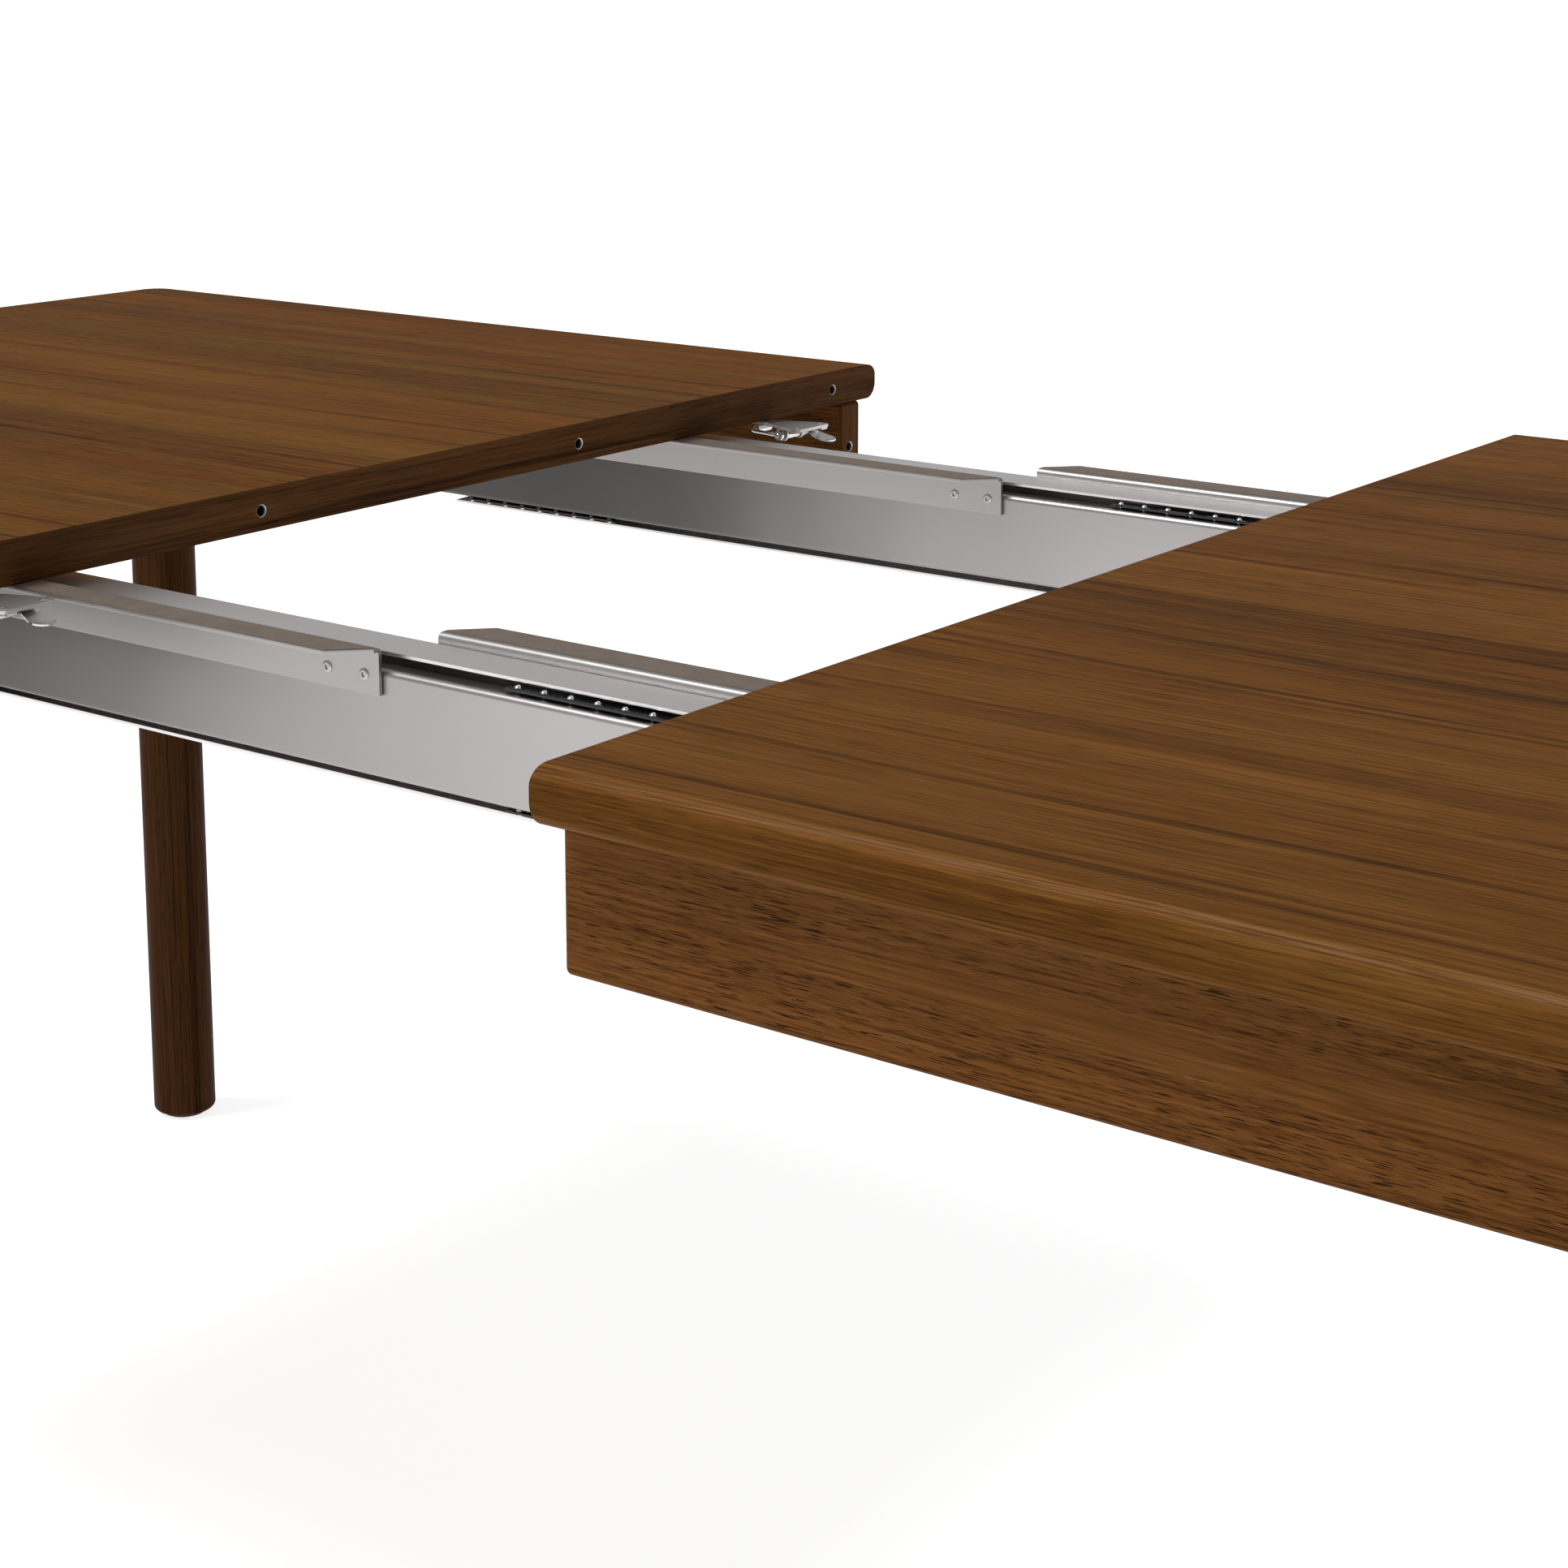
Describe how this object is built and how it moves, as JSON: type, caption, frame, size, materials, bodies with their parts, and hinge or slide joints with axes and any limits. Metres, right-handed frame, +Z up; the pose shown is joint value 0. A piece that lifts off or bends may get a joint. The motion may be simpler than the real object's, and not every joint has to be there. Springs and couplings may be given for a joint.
{
  "type": "extendable dining table",
  "caption": "Walnut dining table pulled open on two ball-bearing slides, with round legs, rounded top edges, locating pins and toggle latches at the split.",
  "frame": {"origin": "on the floor under the middle of the open gap", "axes": "+X along the pulling direction towards the right half, +Y to the far side, +Z up"},
  "size_m": [2.06, 0.94, 0.75],
  "materials": {
    "walnut_top": "satin oiled walnut, fine straight grain along the table",
    "walnut_apron": "satin walnut with short dark pores",
    "walnut_leg": "satin walnut, grain along the leg",
    "rail_steel": "satin zinc-plated sheet",
    "bracket_steel": "satin zinc-plated sheet",
    "bright_steel": "bright plated, lightly worn",
    "cage_black": "black greased strip with bright steel balls",
    "felt": "pressed grey felt"
  },
  "bodies": {
    "right_half": {"right_top": "walnut_top", "right_end_apron": "walnut_apron", "right_near_apron": "walnut_apron", "right_near_leg": "walnut_leg", "right_near_corner_brace": "walnut_apron", "right_near_felt_foot": "felt", "right_far_apron": "walnut_apron", "right_far_leg": "walnut_leg", "right_far_corner_brace": "walnut_apron", "right_far_felt_foot": "felt", "near_outer_rail": "rail_steel", "near_right_bracket": "bracket_steel", "near_latch_keeper": "bright_steel", "near_apron_pin": "bright_steel", "far_outer_rail": "rail_steel", "far_right_bracket": "bracket_steel", "far_latch_keeper": "bright_steel", "far_apron_pin": "bright_steel", "top_pin_1": "bright_steel", "top_pin_2": "bright_steel", "top_pin_3": "bright_steel", "top_pin_4": "bright_steel"},
    "left_half": {"left_top": "walnut_top", "left_end_apron": "walnut_apron", "left_near_apron": "walnut_apron", "left_near_leg": "walnut_leg", "left_near_corner_brace": "walnut_apron", "left_near_felt_foot": "felt", "left_far_apron": "walnut_apron", "left_far_leg": "walnut_leg", "left_far_corner_brace": "walnut_apron", "left_far_felt_foot": "felt", "near_inner_rail": "rail_steel", "near_left_bracket": "bracket_steel", "near_latch_base": "bright_steel", "near_latch_pin": "bright_steel", "near_apron_sleeve": "bright_steel", "far_inner_rail": "rail_steel", "far_left_bracket": "bracket_steel", "far_latch_base": "bright_steel", "far_latch_pin": "bright_steel", "far_apron_sleeve": "bright_steel", "top_sleeve_1": "bright_steel", "top_sleeve_2": "bright_steel", "top_sleeve_3": "bright_steel", "top_sleeve_4": "bright_steel"},
    "near_left_ball_cage_body": {"near_left_ball_cage": "cage_black"},
    "near_right_ball_cage_body": {"near_right_ball_cage": "cage_black"},
    "near_lever_body": {"near_latch_lever": "bright_steel"},
    "near_bail_body": {"near_latch_bail": "bright_steel", "near_latch_roller": "bright_steel"},
    "far_left_ball_cage_body": {"far_left_ball_cage": "cage_black"},
    "far_right_ball_cage_body": {"far_right_ball_cage": "cage_black"},
    "far_lever_body": {"far_latch_lever": "bright_steel"},
    "far_bail_body": {"far_latch_bail": "bright_steel", "far_latch_roller": "bright_steel"}
  },
  "joints": [
    {"name": "table_pull", "type": "slide", "parent": "right_half", "child": "left_half", "axis": [-1, 0, 0], "range_m": [-0.4995, 0.03]},
    {"name": "near_left_cage_roll", "type": "slide", "parent": "right_half", "child": "near_left_ball_cage_body", "axis": [-1, 0, 0], "range_m": [-0.25, 0.015]},
    {"name": "near_right_cage_roll", "type": "slide", "parent": "right_half", "child": "near_right_ball_cage_body", "axis": [-1, 0, 0], "range_m": [-0.25, 0.015]},
    {"name": "near_lever_turn", "type": "hinge", "parent": "left_half", "child": "near_lever_body", "pos_m": [-0.229, -0.3385, 0.7182], "axis": [0, 1, 0], "range_deg": [0, 160]},
    {"name": "near_bail_turn", "type": "hinge", "parent": "left_half", "child": "near_bail_body", "pos_m": [-0.229, -0.3385, 0.7182], "axis": [0, 1, 0], "range_deg": [-140, 0]},
    {"name": "far_left_cage_roll", "type": "slide", "parent": "right_half", "child": "far_left_ball_cage_body", "axis": [-1, 0, 0], "range_m": [-0.25, 0.015]},
    {"name": "far_right_cage_roll", "type": "slide", "parent": "right_half", "child": "far_right_ball_cage_body", "axis": [-1, 0, 0], "range_m": [-0.25, 0.015]},
    {"name": "far_lever_turn", "type": "hinge", "parent": "left_half", "child": "far_lever_body", "pos_m": [-0.229, 0.3385, 0.7182], "axis": [0, 1, 0], "range_deg": [0, 160]},
    {"name": "far_bail_turn", "type": "hinge", "parent": "left_half", "child": "far_bail_body", "pos_m": [-0.229, 0.3385, 0.7182], "axis": [0, 1, 0], "range_deg": [-140, 0]}
  ],
  "couplings": [
    {"joint": "near_left_cage_roll", "follows": "table_pull", "ratio": 0.5},
    {"joint": "near_right_cage_roll", "follows": "table_pull", "ratio": 0.5},
    {"joint": "far_left_cage_roll", "follows": "table_pull", "ratio": 0.5},
    {"joint": "far_right_cage_roll", "follows": "table_pull", "ratio": 0.5}
  ]
}
